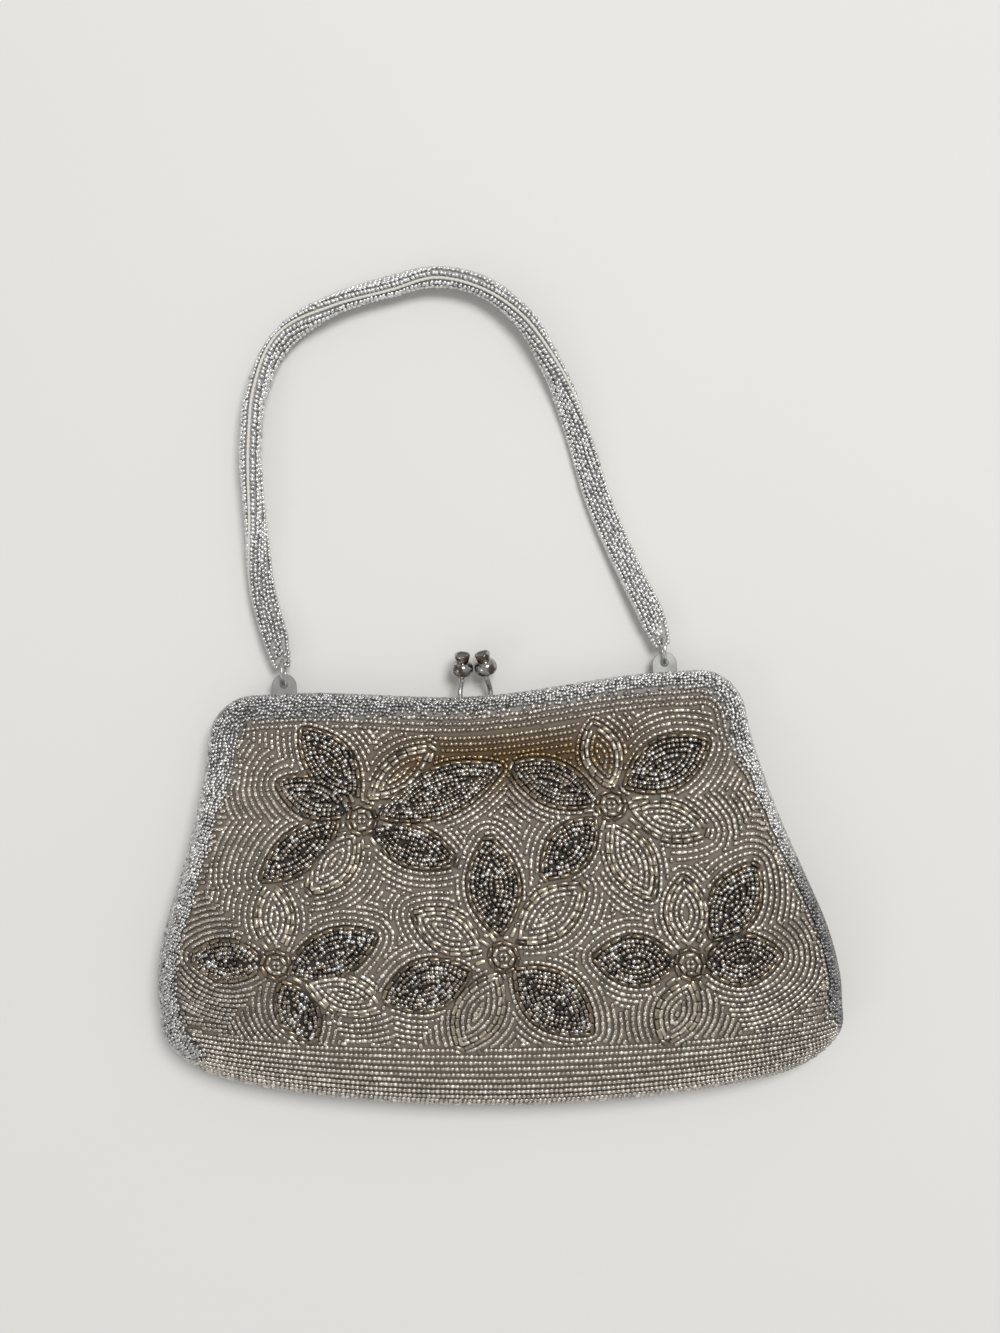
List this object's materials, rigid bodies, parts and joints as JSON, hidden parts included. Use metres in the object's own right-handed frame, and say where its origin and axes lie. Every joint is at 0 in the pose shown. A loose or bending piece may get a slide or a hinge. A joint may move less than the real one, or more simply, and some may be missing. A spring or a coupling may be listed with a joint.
{
  "type": "beaded evening bag",
  "caption": "Small beaded evening bag with a kiss-lock frame that opens on a hinge and a beaded strap on jump rings, lying on its back.",
  "frame": {"origin": "middle of the flat back face, on the surface that the bag lies on and on the plane between its left and right sides", "axes": "+X across the bag to the right of the front face, +Y along the back from the bottom towards the strap, +Z out of the front face"},
  "size_m": [0.2156, 0.2647, 0.0308],
  "materials": {
    "beaded_cloth": "silver-lined clear seed beads on taupe cloth",
    "strap_beads": "bright silver-lined seed beads",
    "lining_satin": "ivory satin",
    "seam_cord": "smooth cream cord",
    "frame_steel": "satin",
    "ring_steel": "satin",
    "knob_nickel": "polished nickel"
  },
  "bodies": {
    "back_half": {"back_panel": "beaded_cloth", "front_panel_lower": "beaded_cloth", "back_lining": "lining_satin", "front_lining_lower": "lining_satin", "back_frame": "frame_steel", "hinge_rivet_left": "frame_steel", "hinge_rivet_right": "frame_steel", "tab_left": "frame_steel", "tab_right": "frame_steel", "back_knob_stem": "knob_nickel", "back_knob_ball": "knob_nickel", "back_knob_cap": "knob_nickel"},
    "front_half": {"front_frame": "frame_steel", "front_panel_upper": "beaded_cloth", "front_lining_upper": "lining_satin", "front_knob_stem": "knob_nickel", "front_knob_ball": "knob_nickel", "front_knob_cap": "knob_nickel"},
    "left_ring": {"ring_left": "ring_steel"},
    "right_ring": {"ring_right": "ring_steel"},
    "strap": {"strap_sleeve": "strap_beads", "strap_seam_inner": "seam_cord", "strap_seam_outer": "seam_cord"}
  },
  "joints": [
    {"name": "front_open", "type": "hinge", "parent": "back_half", "child": "front_half", "pos_m": [0, 0.022, 0.007], "axis": [1, 0, 0], "range_deg": [0, 65]},
    {"name": "left_ring_swing", "type": "hinge", "parent": "back_half", "child": "left_ring", "pos_m": [-0.0605, 0.069, 0.0052], "axis": [1, 0, 0], "range_deg": [0, 40]},
    {"name": "right_ring_swing", "type": "hinge", "parent": "back_half", "child": "right_ring", "pos_m": [0.0605, 0.069, 0.0052], "axis": [1, 0, 0], "range_deg": [0, 40]},
    {"name": "strap_swing", "type": "hinge", "parent": "left_ring", "child": "strap", "pos_m": [-0.0605, 0.0768, 0.0052], "axis": [1, 0, 0], "range_deg": [0, 38]}
  ],
  "couplings": [
    {"joint": "right_ring_swing", "follows": "left_ring_swing", "ratio": 1}
  ]
}
